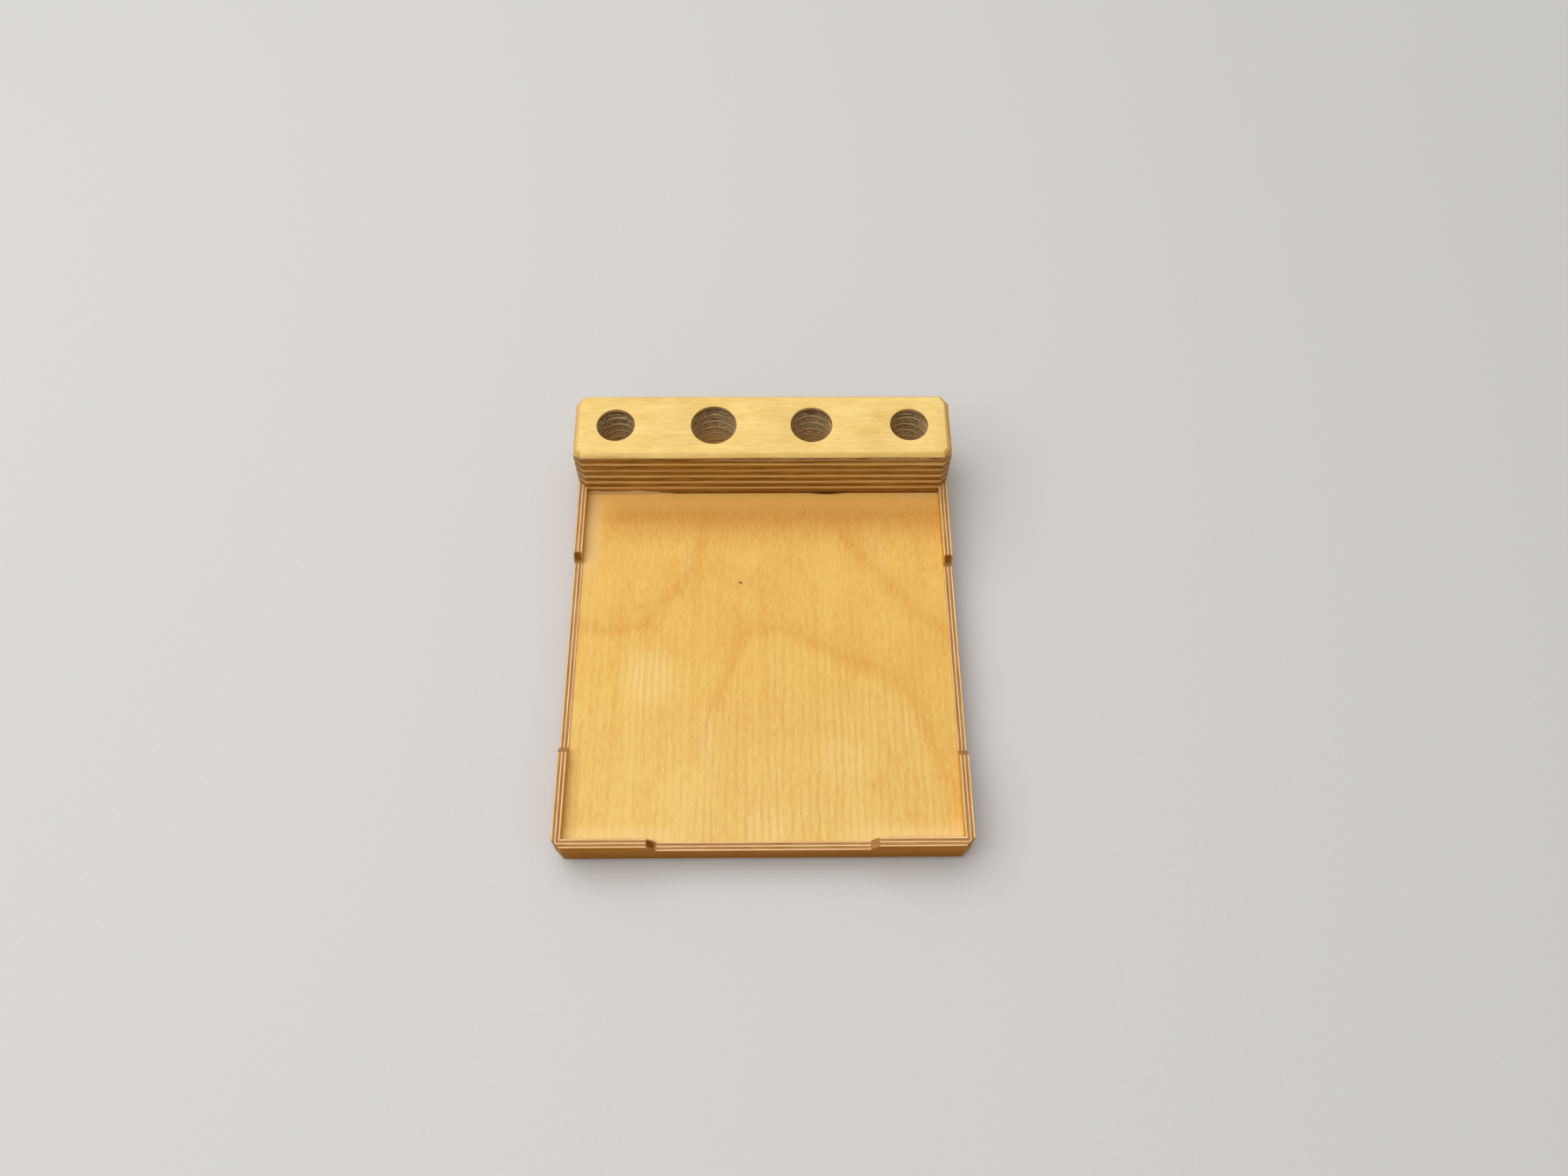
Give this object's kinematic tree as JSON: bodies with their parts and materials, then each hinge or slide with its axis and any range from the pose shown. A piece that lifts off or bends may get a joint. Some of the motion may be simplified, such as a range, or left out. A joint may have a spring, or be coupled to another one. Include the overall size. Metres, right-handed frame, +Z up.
{
  "type": "tool storage caddy",
  "caption": "Small plywood bench caddy: a shallow tray with finger dips in its edge strips and a block behind it, drilled to hold upright hand tools, on clear bumper feet.",
  "frame": {"origin": "on the bench top, below the middle of the part's bounding box", "axes": "+X to the right, +Y from the tray's front edge to the block's back, +Z up"},
  "size_m": [0.1, 0.12, 0.026],
  "materials": {
    "long_grain_veneer": "clear satin lacquer on pale birch, grain along the board",
    "cross_grain_veneer": "clear satin lacquer on birch, end grain showing at the board's long edges",
    "clear_bumper": "clear soft polyurethane"
  },
  "bodies": {
    "root": {"back_left_foot": "clear_bumper", "back_right_foot": "clear_bumper", "base_ply_01": "long_grain_veneer", "base_ply_02": "cross_grain_veneer", "base_ply_03": "long_grain_veneer", "base_ply_04": "cross_grain_veneer", "base_ply_05": "long_grain_veneer", "block_ply_01": "long_grain_veneer", "block_ply_02": "cross_grain_veneer", "block_ply_03": "long_grain_veneer", "block_ply_04": "cross_grain_veneer", "block_ply_05": "long_grain_veneer", "block_ply_06": "cross_grain_veneer", "block_ply_07": "long_grain_veneer", "block_ply_08": "cross_grain_veneer", "block_ply_09": "long_grain_veneer", "block_ply_10": "cross_grain_veneer", "block_ply_11": "long_grain_veneer", "block_ply_12": "cross_grain_veneer", "block_ply_13": "long_grain_veneer", "front_left_foot": "clear_bumper", "front_right_foot": "clear_bumper", "front_strip_ply_01": "long_grain_veneer", "front_strip_ply_02": "cross_grain_veneer", "front_strip_ply_03": "long_grain_veneer", "front_strip_ply_04": "cross_grain_veneer", "front_strip_ply_05": "long_grain_veneer", "left_strip_ply_01": "long_grain_veneer", "left_strip_ply_02": "cross_grain_veneer", "left_strip_ply_03": "long_grain_veneer", "left_strip_ply_04": "cross_grain_veneer", "left_strip_ply_05": "long_grain_veneer", "right_strip_ply_01": "long_grain_veneer", "right_strip_ply_02": "cross_grain_veneer", "right_strip_ply_03": "long_grain_veneer", "right_strip_ply_04": "cross_grain_veneer", "right_strip_ply_05": "long_grain_veneer"}
  },
  "joints": []
}
